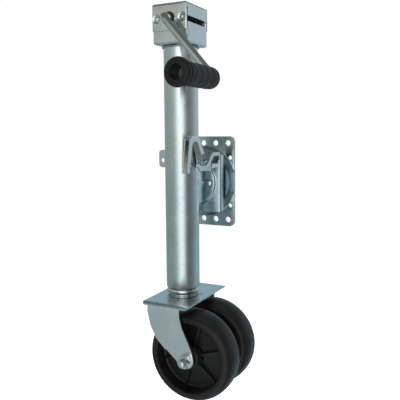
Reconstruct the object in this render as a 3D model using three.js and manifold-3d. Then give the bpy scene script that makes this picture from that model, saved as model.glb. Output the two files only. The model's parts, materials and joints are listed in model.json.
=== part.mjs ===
import * as THREE from 'three';
import { mergeVertices } from 'three/addons/utils/BufferGeometryUtils.js';
import Module from 'manifold-3d';

const wasm = await Module();
wasm.setup();

// Side-wind trailer tongue jack with a swing bracket and a dual-wheel caster. Millimetres, +Z up.
// While building: Z is the outer tube's axis, z = 0 is the height of the swing pivot,
// -Y is the crank side and +Y is the mounting plate side.

const GAP = 0.3; // clearance between neighbouring pieces
const ROUND = 24; // facets round a large cylinder
const SMALL = 12; // facets round a pin, rod or hole
const LONG = 400; // cutter length, longer than any piece it cuts

// Outer tube, 2.25 in
const TUBE_R = 28.575;
const TUBE_WALL = 3;
const TUBE_TOP = 228.7;
const TUBE_BOTTOM = -176;
const WELD_BEAD = 2.4;

// Inner tube and its foot
const LEG_R = 25.2;
const LEG_WALL = 3;
const LEG_TOP = 192;
const LEG_BOTTOM = -186;
const COLLAR_R = 27.8;

// Gear case
const CASE_HALF_X = 31.75;
const CASE_HALF_Y = 37.5;
const CASE_BOTTOM = 229;
const CASE_TOP = 293;
const COVER_WALL = 2.5;
const BASE_WALL = 3;
const COVER_FRONT_EDGE = 250;
const COVER_BACK_EDGE = 256;
const COVER_SIDE_EDGE = 271;
const BASE_SIDE_TOP = 262;
const BASE_END_TOP = 284;
const CASE_CORNER = 5;
const RIVET_X = 23;
const RIVET_R = 2.4;

// Crank
const CRANK_Z = 269;
const CRANK_ROD_R = 6.35;
const CRANK_REAR = 34.4;
const CRANK_PLANE = -58;
const CRANK_REACH_X = 89;
const CRANK_DROP = 101.5;
const CRANK_BEND = 10;
const CRANK_END = -153;
const GRIP_START = -178;
const GRIP_END = -69;

// Bevel gears: 12 teeth drive 20
const GEAR_MODULE = 2.5;
const PINION_TEETH = 12;
const GEAR_TEETH = 20;
const FACE_WIDTH = 9;
const ADDENDUM = 2.0;
const DEDENDUM = 2.7;
const TOOTH_ROOT = 3.7;
const TOOTH_TIP = 1.3;

// Lift screw
const SCREW_R = 8;
const SCREW_ROOT_R = 6.5;
const SCREW_PITCH = 10;
const SCREW_TURNS = 31;
const SCREW_SHANK_R = 6.3;
const SCREW_BOTTOM = -110;
const SCREW_TOP = 256.5;

// Swing bracket, mounting plate and pivot
const WEB_FRONT = 48;
const WEB_THICK = 3;
const BRACKET_HALF_X = 49.4;
const BRACKET_HALF_Z = 51;
const FLANGE_BACK = 61;
const BOSS_FRONT = 45;
const BOSS_BASE_R = 41;
const BOSS_TOP_R = 39;
const PLATE_FRONT = 82;
const PLATE_BACK = 87;
const PLATE_HALF_X = 61;
const PLATE_HALF_Z = 81;
const DOME_FRONT = 68;
const DOME_BASE_R = 64;
const DOME_TOP_R = 57;
const DOME_WALL = 5;
const HOLE_PITCH = 24.4;
const HOLE_ROW_Z = 69.1;
const HOLE_R = 5.3;
const SIDE_HOLE_X = 53;
const SIDE_HOLE_Z = 43;
const PIVOT_R = 9.5;
const STOP_RADIUS = 28.5;
const STOP_R = 4;

// Lock lever and plunger
const LOCK_X = 36;
const LOCK_Z = 31;
const LOCK_R = 5;
const LOCK_ROD_R = 3;
const LEVER_Y = 0.5;
const LEVER_Z = 46;
const LEVER_LEFT = 30.5;
const LEVER_RIGHT = 41.5;
const LEVER_WALL = 2;
const LEVER_STUD_R = 3;
const PLUNGER_END = -8;
const EAR_LEFT = 46.2;
const EAR_RIGHT = 49.2;

// Caster
const PLATE_TOP = -189;
const CASTER_PLATE_WALL = 3;
const FORK_TOP = -192.3;
const FORK_WALL = 4;
const FORK_HALF_Y = 68;
const AXLE_X = 40;
const AXLE_Z = -280;
const AXLE_R = 6.35;
const WHEEL_R = 76.2;
const WHEEL_MIDDLE = 35;
const HUB_HALF = 25.9;
const SPOKES = 6;

// Where the origin sits: on the mounting plate's back face, above the dome
const MOUNT_Z = 77.7;

// ---------- solids ----------

function closedGeometry(source) {
  const bare = source.index ? source.toNonIndexed() : source.clone();
  bare.deleteAttribute('normal');
  bare.deleteAttribute('uv');
  const merged = mergeVertices(bare, 1e-4);
  const index = merged.index.array;
  const p = merged.attributes.position;
  const a = new THREE.Vector3();
  const b = new THREE.Vector3();
  const c = new THREE.Vector3();
  const kept = [];
  let volume = 0;
  for (let i = 0; i < index.length; i += 3) {
    if (index[i] === index[i + 1] || index[i + 1] === index[i + 2] || index[i] === index[i + 2]) {
      continue;
    }
    kept.push(index[i], index[i + 1], index[i + 2]);
    a.fromBufferAttribute(p, index[i]);
    b.fromBufferAttribute(p, index[i + 1]);
    c.fromBufferAttribute(p, index[i + 2]);
    volume += a.dot(b.cross(c));
  }
  if (volume < 0) {
    kept.reverse();
  }
  merged.setIndex(kept);
  return merged;
}

function solid(geometry) {
  const g = closedGeometry(geometry);
  const mesh = new wasm.Mesh({
    numProp: 3,
    vertProperties: new Float32Array(g.attributes.position.array),
    triVerts: new Uint32Array(g.index.array),
  });
  return new wasm.Manifold(mesh);
}

function geometryOf(manifold) {
  const mesh = manifold.getMesh();
  const g = new THREE.BufferGeometry();
  g.setAttribute('position', new THREE.BufferAttribute(new Float32Array(mesh.vertProperties), 3));
  g.setIndex(new THREE.BufferAttribute(new Uint32Array(mesh.triVerts), 1));
  return g;
}

function join(...parts) {
  return geometryOf(parts.map(solid).reduce((sum, part) => sum.add(part)));
}

function cut(body, ...tools) {
  return geometryOf(tools.map(solid).reduce((rest, tool) => rest.subtract(tool), solid(body)));
}

function common(a, b) {
  return geometryOf(solid(a).intersect(solid(b)));
}

// Box given by its low and high corners.
function box(x0, y0, z0, x1, y1, z1) {
  const g = new THREE.BoxGeometry(x1 - x0, y1 - y0, z1 - z0);
  g.translate((x0 + x1) / 2, (y0 + y1) / 2, (z0 + z1) / 2);
  return g;
}

// Turned solid: profile points are [radius, distance along the axis], closed back to the start.
function turned(axis, profile, facets = ROUND, u = 0, v = 0) {
  const points = profile.map(([r, h]) => new THREE.Vector2(r, h));
  points.push(points[0].clone());
  const g = new THREE.LatheGeometry(points, facets);
  if (axis === 'z') {
    g.rotateX(Math.PI / 2);
    g.translate(u, v, 0);
  }
  if (axis === 'y') {
    g.translate(u, 0, v);
  }
  if (axis === 'x') {
    g.rotateZ(-Math.PI / 2);
    g.translate(0, u, v);
  }
  return g;
}

function rod(axis, radius, from, to, facets = SMALL, u = 0, v = 0) {
  return turned(axis, [[0, from], [radius, from], [radius, to], [0, to]], facets, u, v);
}

function ring(axis, outer, inner, from, to, facets = ROUND, u = 0, v = 0) {
  return turned(axis, [[inner, from], [outer, from], [outer, to], [inner, to]], facets, u, v);
}

// Flat outline given as [first, second] pairs, extruded along the remaining axis.
function slab(normal, outline, from, to, holes = []) {
  const shape = new THREE.Shape(outline.map(([a, b]) => new THREE.Vector2(a, b)));
  for (const [a, b, r] of holes) {
    const hole = new THREE.Path();
    hole.absarc(a, b, r, 0, Math.PI * 2, true);
    shape.holes.push(hole);
  }
  const g = new THREE.ExtrudeGeometry(shape, { depth: to - from, bevelEnabled: false, curveSegments: 8 });
  g.translate(0, 0, from);
  if (normal === 'x') {
    g.rotateZ(Math.PI / 2);
    g.rotateY(Math.PI / 2);
  }
  if (normal === 'y') {
    g.applyMatrix4(new THREE.Matrix4().set(1, 0, 0, 0, 0, 0, 1, 0, 0, 1, 0, 0, 0, 0, 0, 1));
  }
  return g;
}

function roundedOutline(a0, b0, a1, b1, radius, steps = 4) {
  const corners = [[a1 - radius, b1 - radius], [a0 + radius, b1 - radius],
    [a0 + radius, b0 + radius], [a1 - radius, b0 + radius]];
  const points = [];
  corners.forEach(([a, b], corner) => {
    for (let i = 0; i <= steps; i += 1) {
      const angle = (corner + i / steps) * Math.PI / 2;
      points.push([a + radius * Math.cos(angle), b + radius * Math.sin(angle)]);
    }
  });
  return points;
}

function arcPoints(a, b, radius, fromDeg, toDeg, steps) {
  const points = [];
  for (let i = 0; i <= steps; i += 1) {
    const angle = THREE.MathUtils.degToRad(fromDeg + (toDeg - fromDeg) * i / steps);
    points.push([a + radius * Math.cos(angle), b + radius * Math.sin(angle)]);
  }
  return points;
}

// Round bar swept along a path.
function bar(path, radius, facets, steps) {
  const shape = new THREE.Shape(arcPoints(0, 0, radius, 0, 360 - 360 / facets, facets - 1)
    .map(([a, b]) => new THREE.Vector2(a, b)));
  return new THREE.ExtrudeGeometry(shape, { extrudePath: path, steps, bevelEnabled: false });
}

function hexagon(axis, acrossFlats, from, to, u, v) {
  return rod(axis, acrossFlats / Math.sqrt(3), from, to, 6, u, v);
}

// ---------- assembly ----------

const group = new THREE.Group();
group.name = 'tongue_jack';

const finishes = {
  zinc: new THREE.MeshStandardMaterial({ color: 0xb4bdbc, metalness: 0.85, roughness: 0.38 }),
  steel: new THREE.MeshStandardMaterial({ color: 0x8b8f92, metalness: 0.9, roughness: 0.42 }),
  brass: new THREE.MeshStandardMaterial({ color: 0xa98a4c, metalness: 0.8, roughness: 0.45 }),
  grip: new THREE.MeshStandardMaterial({ color: 0x242424, roughness: 0.55 }),
  tyre: new THREE.MeshStandardMaterial({ color: 0x2b2b2c, roughness: 0.7 }),
};

function place(name, geometry, finish = 'zinc') {
  const g = closedGeometry(geometry);
  g.translate(0, -PLATE_BACK, -MOUNT_Z);
  const flat = g.toNonIndexed();
  flat.computeVertexNormals();
  const mesh = new THREE.Mesh(flat, finishes[finish]);
  mesh.name = name;
  group.add(mesh);
}

// ---------- outer tube ----------

place('outer_tube', turned('z', [
  [TUBE_R - TUBE_WALL, TUBE_BOTTOM + 1],
  [TUBE_R - TUBE_WALL + 1, TUBE_BOTTOM],
  [TUBE_R - 0.8, TUBE_BOTTOM],
  [TUBE_R, TUBE_BOTTOM + 1.2],
  [TUBE_R, TUBE_TOP - 2 * WELD_BEAD],
  [TUBE_R + 0.8 * WELD_BEAD, TUBE_TOP - WELD_BEAD],
  [TUBE_R + WELD_BEAD, TUBE_TOP],
  [TUBE_R - TUBE_WALL, TUBE_TOP],
], 40));

const tubeCutter = rod('z', TUBE_R + GAP, -LONG, LONG, 40);

const LUG_LEFT = -44;
const LUG_LOW = 29;
const LUG_HIGH = 59;
const lugOutline = roundedOutline(LUG_LEFT, LUG_LOW, -10, LUG_HIGH, 6);
place('tube_lug', cut(
  slab('y', lugOutline, -1.5, 1.5, [[-37, 41, 3.6]]),
  tubeCutter,
));

place('saddle_block', cut(
  slab('y', roundedOutline(-13, -40, 13, 40, 3), 15, BOSS_FRONT - GAP),
  tubeCutter,
));

// ---------- gear case ----------

function caseBlock(halfX, halfY, bottom, top) {
  const acrossX = slab('y', roundedOutline(-halfX, bottom, halfX, top, CASE_CORNER), -halfY, halfY);
  const acrossY = slab('x', roundedOutline(-halfY, bottom, halfY, top, CASE_CORNER), -halfX, halfX);
  return common(acrossX, acrossY);
}

const coverInner = CASE_HALF_Y - COVER_WALL;
const baseHalfY = coverInner - GAP;
const baseInner = baseHalfY - BASE_WALL;
const endHalfX = CASE_HALF_X - COVER_WALL - GAP;
const rivetSpots = [-RIVET_X, RIVET_X];
const coverBlock = caseBlock(CASE_HALF_X, CASE_HALF_Y, COVER_FRONT_EDGE - 2 * CASE_CORNER, CASE_TOP);
const CRANK_HOLE_R = 10;

place('gear_case_cover', cut(
  coverBlock,
  box(-CASE_HALF_X + COVER_WALL, -coverInner, 0,
    CASE_HALF_X - COVER_WALL, coverInner, CASE_TOP - COVER_WALL),
  box(-LONG, -LONG, 0, LONG, LONG, COVER_FRONT_EDGE),
  box(-LONG, 0, 0, LONG, LONG, COVER_BACK_EDGE),
  box(-LONG, -coverInner, 0, LONG, coverInner, COVER_SIDE_EDGE),
  rod('y', CRANK_HOLE_R, -LONG, 0, 24, 0, CRANK_Z),
  ...rivetSpots.map((x) => rod('y', RIVET_R + GAP, -LONG, LONG, 12, x, CRANK_Z)),
));

const BUSHING_R = 8.5;
place('gear_case_base', cut(
  caseBlock(CASE_HALF_X, baseHalfY, CASE_BOTTOM, BASE_END_TOP + 2 * CASE_CORNER),
  box(-CASE_HALF_X + BASE_WALL, -baseInner, CASE_BOTTOM + BASE_WALL,
    CASE_HALF_X - BASE_WALL, baseInner, LONG),
  box(-LONG, -LONG, BASE_END_TOP, LONG, LONG, LONG),
  box(-LONG, -baseInner, BASE_SIDE_TOP, LONG, baseInner, LONG),
  box(endHalfX, -LONG, BASE_SIDE_TOP, LONG, LONG, LONG),
  box(-LONG, -LONG, BASE_SIDE_TOP, -endHalfX, LONG, LONG),
  rod('y', BUSHING_R + GAP, -LONG, LONG, 24, 0, CRANK_Z),
  rod('z', SCREW_SHANK_R + 0.7, 0, LONG, 24),
  ...rivetSpots.map((x) => rod('y', RIVET_R + GAP, -LONG, LONG, 12, x, CRANK_Z)),
));

// Button-head rivet through a cover flange and the base wall behind it, head outwards.
function caseRivet(x, side) {
  const head = CASE_HALF_Y + 0.2;
  const tail = baseInner - 0.2;
  const profile = [[0, head + 2.3], [2.6, head + 1.9], [4.4, head + 0.6], [4.4, head],
    [RIVET_R, head], [RIVET_R, tail], [3.4, tail], [3.4, tail - 1.2], [0, tail - 1.2]];
  return turned('y', profile.map(([r, h]) => [r, side * h]), SMALL, x, CRANK_Z);
}

place('cover_rivet_front_left', caseRivet(-RIVET_X, -1));
place('cover_rivet_front_right', caseRivet(RIVET_X, -1));
place('cover_rivet_back_left', caseRivet(-RIVET_X, 1));
place('cover_rivet_back_right', caseRivet(RIVET_X, 1));

place('crank_bushing_front', turned('y', [
  [CRANK_ROD_R + GAP, -CASE_HALF_Y + 0.2],
  [CRANK_HOLE_R - GAP, -CASE_HALF_Y + 0.2],
  [CRANK_HOLE_R - GAP, -baseHalfY - 0.2],
  [BUSHING_R, -baseHalfY - 0.2],
  [BUSHING_R, -baseInner],
  [CRANK_ROD_R + GAP, -baseInner],
], 14, 0, CRANK_Z), 'brass');

place('crank_bushing_rear', turned('y', [
  [CRANK_ROD_R + GAP, baseHalfY],
  [BUSHING_R, baseHalfY],
  [BUSHING_R, baseInner - 0.2],
  [BUSHING_R + 2, baseInner - 0.2],
  [BUSHING_R + 2, baseInner - 2],
  [CRANK_ROD_R + GAP, baseInner - 2],
], 14, 0, CRANK_Z), 'brass');

// ---------- crank ----------

const crankPath = new THREE.CurvePath();
const armLength = Math.hypot(CRANK_REACH_X, CRANK_DROP);
const armX = CRANK_REACH_X / armLength;
const armZ = -CRANK_DROP / armLength;
const elbowTop = new THREE.Vector3(0, CRANK_PLANE, CRANK_Z);
const elbowLow = new THREE.Vector3(CRANK_REACH_X, CRANK_PLANE, CRANK_Z - CRANK_DROP);
const armStart = new THREE.Vector3(armX * CRANK_BEND, CRANK_PLANE, CRANK_Z + armZ * CRANK_BEND);
const armEnd = new THREE.Vector3(CRANK_REACH_X - armX * CRANK_BEND, CRANK_PLANE,
  CRANK_Z - CRANK_DROP - armZ * CRANK_BEND);
const shaftEnd = new THREE.Vector3(0, CRANK_PLANE + CRANK_BEND, CRANK_Z);
const gripStart = new THREE.Vector3(CRANK_REACH_X, CRANK_PLANE - CRANK_BEND, CRANK_Z - CRANK_DROP);
crankPath.add(new THREE.LineCurve3(new THREE.Vector3(0, CRANK_REAR, CRANK_Z), shaftEnd));
crankPath.add(new THREE.QuadraticBezierCurve3(shaftEnd, elbowTop, armStart));
crankPath.add(new THREE.LineCurve3(armStart, armEnd));
crankPath.add(new THREE.QuadraticBezierCurve3(armEnd, elbowLow, gripStart));
crankPath.add(new THREE.LineCurve3(gripStart,
  new THREE.Vector3(CRANK_REACH_X, CRANK_END, CRANK_Z - CRANK_DROP)));
place('crank_rod', bar(crankPath, CRANK_ROD_R, 10, 40));

const GRIP_WAVES = 4;
const GRIP_BODY_START = -156;
const GRIP_BODY_END = -80;
const GRIP_BODY_R = 16.9;
const GRIP_TAPER = 0.4;
const GRIP_FLANGE_R = 20.3;
const GRIP_RIM_R = 18.2;
const GRIP_WAVE = 0.4;
const GRIP_BORE = CRANK_ROD_R + GAP;
const GRIP_SOCKET_R = 10.5;
const GRIP_SOCKET_END = CRANK_END + 3;
const gripProfile = [[GRIP_SOCKET_R, GRIP_START], [14.5, GRIP_START], [18.6, GRIP_START + 1.6],
  [GRIP_FLANGE_R, GRIP_START + 4.5], [GRIP_FLANGE_R, GRIP_START + 7.5], [18.2, GRIP_START + 10],
  [16.8, GRIP_START + 12.5], [16.8, GRIP_START + 14.5], [GRIP_RIM_R, GRIP_START + 17],
  [GRIP_RIM_R, GRIP_START + 19], [GRIP_BODY_R - GRIP_WAVE, GRIP_BODY_START]];
for (let i = 1; i <= GRIP_WAVES * 2; i += 1) {
  const t = i / (GRIP_WAVES * 2);
  const y = GRIP_BODY_START + t * (GRIP_BODY_END - GRIP_BODY_START);
  const wave = GRIP_WAVE * Math.cos(t * GRIP_WAVES * 2 * Math.PI);
  gripProfile.push([GRIP_BODY_R - GRIP_TAPER * t - wave, y]);
}
gripProfile.push([16.1, GRIP_END - 5], [14.8, GRIP_END - 1.5], [12.2, GRIP_END],
  [GRIP_BORE, GRIP_END], [GRIP_BORE, GRIP_SOCKET_END], [GRIP_SOCKET_R, GRIP_SOCKET_END]);
place('grip', turned('y', gripProfile, 16, CRANK_REACH_X, CRANK_Z - CRANK_DROP), 'grip');

const PUSH_NUT_LOW = CRANK_END + 0.5;
const PUSH_NUT_HIGH = CRANK_END + 2.4;
place('grip_push_nut', ring('y', GRIP_SOCKET_R - 2 * GAP, CRANK_ROD_R + GAP,
  PUSH_NUT_LOW, PUSH_NUT_HIGH, SMALL, CRANK_REACH_X, CRANK_Z - CRANK_DROP), 'steel');

const CRANK_CLIP_R = 9;
const CRANK_CLIP_BACK = baseInner - 2.4;
place('crank_clip', ring('y', CRANK_CLIP_R, CRANK_ROD_R + GAP,
  CRANK_CLIP_BACK - 2, CRANK_CLIP_BACK, 20, 0, CRANK_Z), 'steel');

// ---------- bevel gears ----------

// Bevel wheel with its cone's apex at the origin and its back towards -Z.
function bevel(teeth, mateTeeth, boreR, hubR, rimBack, hubBack, phaseDeg) {
  const pitchR = teeth * GEAR_MODULE / 2;
  const mateR = mateTeeth * GEAR_MODULE / 2;
  const outer = Math.hypot(pitchR, mateR);
  const inner = outer - FACE_WIDTH;
  const sin = pitchR / outer;
  const cos = mateR / outer;
  const onCone = (along, out) => [along * sin + out * cos, -along * cos + out * sin];
  const scale = inner / outer;
  const blank = turned('z', [
    [boreR, onCone(inner, -DEDENDUM * scale)[1]],
    onCone(inner, -DEDENDUM * scale),
    onCone(outer, -DEDENDUM),
    [onCone(outer, -DEDENDUM)[0], rimBack],
    [hubR, rimBack],
    [hubR, hubBack],
    [boreR, hubBack],
  ], teeth);
  const parts = [solid(blank)];
  for (let i = 0; i < teeth; i += 1) {
    const angle = THREE.MathUtils.degToRad(phaseDeg + i * 360 / teeth);
    const corners = [];
    for (const [along, s] of [[outer, 1], [inner, scale]]) {
      for (const [half, out] of [[TOOTH_ROOT / 2, -DEDENDUM - 0.4], [TOOTH_TIP / 2, ADDENDUM]]) {
        const [r, z] = onCone(along, out * s);
        for (const side of [-1, 1]) {
          const t = side * half * s;
          corners.push([r * Math.cos(angle) - t * Math.sin(angle),
            r * Math.sin(angle) + t * Math.cos(angle), z]);
        }
      }
    }
    const quads = [[0, 1, 3, 2], [4, 6, 7, 5], [0, 4, 5, 1], [2, 3, 7, 6], [0, 2, 6, 4], [1, 5, 7, 3]];
    const g = new THREE.BufferGeometry();
    g.setAttribute('position', new THREE.Float32BufferAttribute(corners.flat(), 3));
    g.setIndex(quads.flatMap(([a, b, c, d]) => [a, b, c, a, c, d]));
    parts.push(solid(g));
  }
  return geometryOf(parts.reduce((sum, part) => sum.add(part)));
}

const PINION_BACK = -30.3;
const pinion = bevel(PINION_TEETH, GEAR_TEETH, CRANK_ROD_R + GAP, 10.5, PINION_BACK + 1, PINION_BACK,
  -90 + 180 / PINION_TEETH);
pinion.rotateX(-Math.PI / 2);
pinion.translate(0, 0, CRANK_Z);
place('bevel_pinion', pinion, 'steel');

const GEAR_RIM_BACK = -21;
const GEAR_HUB_BACK = -34.3;
const GEAR_PIN_Z = CRANK_Z - 28;
const GEAR_PIN_R = 2;
const gear = bevel(GEAR_TEETH, PINION_TEETH, SCREW_SHANK_R + GAP, 11, GEAR_RIM_BACK, GEAR_HUB_BACK, -90);
gear.translate(0, 0, CRANK_Z);
const gearPinHole = rod('x', GEAR_PIN_R + 0.1, -LONG, LONG, 12, 0, GEAR_PIN_Z);
place('bevel_gear', cut(gear, gearPinHole), 'steel');
place('gear_pin', rod('x', GEAR_PIN_R, -10.8, 10.8, 12, 0, GEAR_PIN_Z), 'steel');
place('gear_washer', ring('z', 13, SCREW_SHANK_R + GAP, CASE_BOTTOM + BASE_WALL + 0.2,
  CRANK_Z + GEAR_HUB_BACK - 0.2, 20), 'steel');

// ---------- lift screw, bearing and nut ----------

const SCREW_COLLAR_LOW = 209.5;
const SCREW_COLLAR_HIGH = 216;
const screwProfile = [[0, SCREW_BOTTOM], [SCREW_ROOT_R - 1, SCREW_BOTTOM]];
for (let i = 0; i < SCREW_TURNS; i += 1) {
  const z = SCREW_BOTTOM + 2 + i * SCREW_PITCH;
  screwProfile.push([SCREW_ROOT_R, z], [SCREW_R, z + SCREW_PITCH / 2]);
}
screwProfile.push([SCREW_ROOT_R, SCREW_BOTTOM + 2 + SCREW_TURNS * SCREW_PITCH],
  [SCREW_ROOT_R, SCREW_COLLAR_LOW], [14, SCREW_COLLAR_LOW], [14, SCREW_COLLAR_HIGH],
  [SCREW_SHANK_R, SCREW_COLLAR_HIGH], [SCREW_SHANK_R, SCREW_TOP - 1], [SCREW_SHANK_R - 1, SCREW_TOP],
  [0, SCREW_TOP]);
place('lift_screw', cut(turned('z', screwProfile, 9), gearPinHole), 'steel');

const RACE_R = 15;
const RACE_WALL = 2.8;
const LOWER_RACE = SCREW_COLLAR_HIGH + GAP;
const BALL_R = 3;
const BALL_CIRCLE = 11;
const BALLS = 6;
const ballLevel = LOWER_RACE + RACE_WALL + GAP + BALL_R;
place('bearing_race_lower', ring('z', RACE_R, SCREW_SHANK_R + GAP, LOWER_RACE,
  LOWER_RACE + RACE_WALL, 16), 'steel');
place('bearing_race_upper', ring('z', RACE_R, SCREW_SHANK_R + 0.4, ballLevel + BALL_R + GAP,
  CASE_BOTTOM - GAP, 16), 'steel');
const cage = [ring('z', BALL_CIRCLE + 2, BALL_CIRCLE - 2, ballLevel - 0.8, ballLevel + 0.8, 16)];
for (let i = 0; i < BALLS; i += 1) {
  const angle = i * 2 * Math.PI / BALLS;
  const ball = new THREE.SphereGeometry(BALL_R, 6, 4);
  ball.translate(BALL_CIRCLE * Math.cos(angle), BALL_CIRCLE * Math.sin(angle), ballLevel);
  cage.push(ball);
}
place('bearing_balls', join(...cage), 'steel');

place('screw_nut', turned('z', [
  [SCREW_R + 0.4, LEG_TOP - 20],
  [LEG_R - LEG_WALL - GAP, LEG_TOP - 20],
  [LEG_R - LEG_WALL - GAP, LEG_TOP + 0.2],
  [LEG_R, LEG_TOP + 0.2],
  [LEG_R, LEG_TOP + 5],
  [SCREW_R + 0.4, LEG_TOP + 5],
], 16), 'brass');

// ---------- inner tube and foot ----------

place('inner_tube', ring('z', LEG_R, LEG_R - LEG_WALL, LEG_BOTTOM, LEG_TOP, 32));
place('leg_collar', turned('z', [
  [LEG_R + 0.2, LEG_BOTTOM],
  [COLLAR_R - 2, LEG_BOTTOM],
  [COLLAR_R, LEG_BOTTOM + 2.2],
  [COLLAR_R, LEG_BOTTOM + 6.6],
  [COLLAR_R - 1.6, LEG_BOTTOM + 9],
  [LEG_R + 0.2, LEG_BOTTOM + 9],
], 32));
const PLUG_TOP = -176;
const KING_R = 6.35;
place('foot_plug', ring('z', LEG_R - LEG_WALL - GAP, KING_R + 0.4, LEG_BOTTOM, PLUG_TOP, 20), 'steel');

// ---------- swing bracket ----------

const boss = turned('y', [[0, BOSS_FRONT], [BOSS_TOP_R, BOSS_FRONT], [BOSS_BASE_R, WEB_FRONT],
  [BOSS_BASE_R, WEB_FRONT + WEB_THICK], [0, WEB_FRONT + WEB_THICK]], 32);
const bossHollow = turned('y', [[0, BOSS_FRONT + WEB_THICK], [BOSS_TOP_R - 2, BOSS_FRONT + WEB_THICK],
  [BOSS_BASE_R - 2, WEB_FRONT + WEB_THICK + 1], [0, WEB_FRONT + WEB_THICK + 1]], 32);
const bracketOutline = roundedOutline(-BRACKET_HALF_X, WEB_FRONT, BRACKET_HALF_X, WEB_FRONT + 60, 4);
const bracketChannel = cut(
  slab('z', bracketOutline, -BRACKET_HALF_Z, BRACKET_HALF_Z),
  box(-LONG, FLANGE_BACK, -LONG, LONG, LONG, LONG),
  box(-BRACKET_HALF_X + WEB_THICK, WEB_FRONT + WEB_THICK, -LONG, BRACKET_HALF_X - WEB_THICK, LONG, LONG),
);
const cornerTrim = slab('y', roundedOutline(-BRACKET_HALF_X - 1, -BRACKET_HALF_Z, BRACKET_HALF_X + 1,
  BRACKET_HALF_Z, 5), 0, LONG);
place('swivel_bracket', cut(
  join(common(bracketChannel, cornerTrim), boss),
  bossHollow,
  rod('y', LOCK_R + GAP, 0, LONG, 20, LOCK_X, LOCK_Z),
  rod('y', STOP_R + GAP, 0, LONG, SMALL, STOP_RADIUS, 0),
));

place('stop_pin', turned('y', [[0, BOSS_FRONT - 3.4], [4, BOSS_FRONT - 3.2], [6.4, BOSS_FRONT - 1.6],
  [6.4, BOSS_FRONT - 0.2], [STOP_R, BOSS_FRONT - 0.2], [STOP_R, DOME_FRONT + DOME_WALL + 1],
  [0, DOME_FRONT + DOME_WALL + 1]], SMALL, STOP_RADIUS, 0), 'steel');

const STUD_FLANGE = BOSS_FRONT + WEB_THICK + GAP;
place('pivot_stud', turned('y', [[0, STUD_FLANGE], [18, STUD_FLANGE], [18, STUD_FLANGE + 3.7],
  [PIVOT_R, STUD_FLANGE + 3.7], [PIVOT_R, PLATE_BACK - 2.5], [PIVOT_R - 1, PLATE_BACK - 1.5],
  [0, PLATE_BACK - 1.5]], 24), 'steel');
place('pivot_spacer', ring('y', 20, PIVOT_R + 0.2, STUD_FLANGE + 4, DOME_FRONT - GAP, 20), 'steel');
place('pivot_washer', ring('y', 20, PIVOT_R + 0.2, DOME_FRONT + DOME_WALL + GAP,
  DOME_FRONT + DOME_WALL + 3.3, 20), 'steel');
place('pivot_nut', cut(hexagon('y', 27, DOME_FRONT + DOME_WALL + 3.6, PLATE_BACK - 3.4, 0, 0),
  rod('y', PIVOT_R + 0.2, 0, LONG, 24)), 'steel');

// ---------- mounting plate ----------

const INDEX_ANGLES = [0, 90, -90];
const lockAngle = THREE.MathUtils.radToDeg(Math.atan2(LOCK_Z, LOCK_X));
const lockRadius = Math.hypot(LOCK_X, LOCK_Z);
const plateOutline = roundedOutline(-PLATE_HALF_X, -PLATE_HALF_Z, PLATE_HALF_X, PLATE_HALF_Z, 10);
const dome = turned('y', [[0, DOME_FRONT], [DOME_TOP_R, DOME_FRONT], [DOME_BASE_R, PLATE_FRONT],
  [DOME_BASE_R, PLATE_BACK], [0, PLATE_BACK]], 36);
const domeHollow = turned('y', [[0, DOME_FRONT + DOME_WALL], [DOME_TOP_R - 3.5, DOME_FRONT + DOME_WALL],
  [DOME_BASE_R - 5.5, PLATE_BACK + 0.5], [0, PLATE_BACK + 0.5]], 36);
const SLOT_HALF = STOP_R + 0.6;
const stopSlot = slab('y', [
  ...arcPoints(0, 0, STOP_RADIUS + SLOT_HALF, -92, 92, 12),
  ...arcPoints(0, STOP_RADIUS, SLOT_HALF, 92, 272, 6).slice(1, -1).map(([a, b]) => [a - 1, b]),
  ...arcPoints(0, 0, STOP_RADIUS - SLOT_HALF, 92, -92, 12),
  ...arcPoints(0, -STOP_RADIUS, SLOT_HALF, 88, 268, 6).slice(1, -1).map(([a, b]) => [a - 1, b]),
], 0, LONG);
const plateHoles = [];
for (let column = -2; column <= 2; column += 1) {
  for (const side of [-1, 1]) {
    plateHoles.push(rod('y', HOLE_R, 0, LONG, SMALL, column * HOLE_PITCH, side * HOLE_ROW_Z));
  }
}
for (const x of [-SIDE_HOLE_X, SIDE_HOLE_X]) {
  for (const z of [-SIDE_HOLE_Z, SIDE_HOLE_Z]) {
    plateHoles.push(rod('y', HOLE_R - 1.3, 0, LONG, SMALL, x, z));
  }
}
for (const turn of INDEX_ANGLES) {
  const angle = THREE.MathUtils.degToRad(lockAngle + turn);
  plateHoles.push(rod('y', LOCK_R + 0.5, 0, LONG, SMALL,
    lockRadius * Math.cos(angle), lockRadius * Math.sin(angle)));
}
place('mounting_plate', cut(
  common(join(slab('y', plateOutline, PLATE_FRONT, PLATE_BACK), dome), slab('y', plateOutline, 0, LONG)),
  domeHollow,
  stopSlot,
  rod('y', PIVOT_R + 0.4, 0, LONG, 24),
  ...plateHoles,
));

// ---------- lock lever and plunger ----------

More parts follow.
